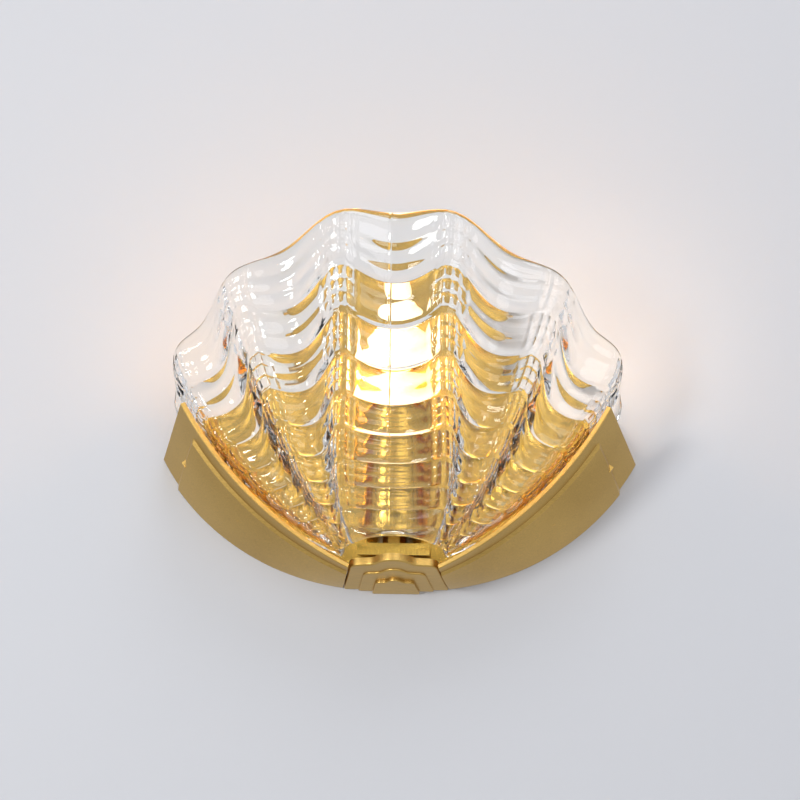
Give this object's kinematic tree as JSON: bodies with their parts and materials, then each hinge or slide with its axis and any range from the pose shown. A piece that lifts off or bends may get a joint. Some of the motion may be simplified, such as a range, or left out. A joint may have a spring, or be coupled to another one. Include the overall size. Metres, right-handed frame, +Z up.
{
  "type": "shell wall sconce",
  "caption": "Wall sconce with a clear pressed-glass scallop shade standing in a satin brass cradle of curved arms and a stepped foot, round canopy behind and a candle bulb inside.",
  "frame": {"origin": "on the wall, in the middle of the two screw holes of the wall strap", "axes": "+X along the strap and the lamp's width, +Y into the wall, +Z up"},
  "size_m": [0.302, 0.1281, 0.2124],
  "materials": {
    "satin_brass": "brushed and lacquered",
    "zinc_steel": "bright zinc plated",
    "earth_brass": "plain turned",
    "nickel_cap": "nickel plated",
    "pressed_glass": "clear, fire polished",
    "bulb_glass": "opal white",
    "stem_glass": "clear",
    "filament": "phosphor coated",
    "insulator": "black",
    "porcelain": "glazed",
    "terminal_plastic": "moulded",
    "clear_silicone": "soft, translucent",
    "brown_insulation": "extruded",
    "blue_insulation": "extruded"
  },
  "bodies": {
    "lamp": {"back_panel": "satin_brass", "bracket_screws": "satin_brass", "cable_bush": "terminal_plastic", "canopy": "satin_brass", "centre_contact": "earth_brass", "clip_screws": "satin_brass", "cup_ring": "satin_brass", "earth_screw": "earth_brass", "earth_washer": "earth_brass", "foot_ornament": "satin_brass", "foot_screws": "zinc_steel", "head_screws": "satin_brass", "holder_thread": "earth_brass", "lamp_bracket": "satin_brass", "lamp_cup": "satin_brass", "lamp_nipple": "zinc_steel", "lampholder": "porcelain", "left_arm": "satin_brass", "left_arm_screws": "zinc_steel", "left_clip": "satin_brass", "left_pads": "clear_silicone", "left_side_screw": "satin_brass", "live_lead": "brown_insulation", "neutral_lead": "blue_insulation", "nipple_nuts": "satin_brass", "right_arm": "satin_brass", "right_arm_screws": "zinc_steel", "right_clip": "satin_brass", "right_pads": "clear_silicone", "right_side_screw": "satin_brass", "terminal_block": "terminal_plastic", "terminal_block_screw": "zinc_steel", "terminal_screws": "zinc_steel", "wall_strap": "zinc_steel"},
    "shade": {"glass_shade": "pressed_glass"},
    "bulb": {"bulb_cap": "nickel_cap", "bulb_contact": "nickel_cap", "bulb_filaments": "filament", "bulb_glass": "bulb_glass", "bulb_insulator": "insulator", "bulb_stem": "stem_glass"}
  },
  "joints": [
    {"name": "shade_lift", "type": "slide", "parent": "lamp", "child": "shade", "axis": [0, 0, 1], "range_m": [0, 0.17]},
    {"name": "bulb_unscrew", "type": "slide", "parent": "lamp", "child": "bulb", "axis": [0, 0, 1], "range_m": [0, 0.03]}
  ]
}
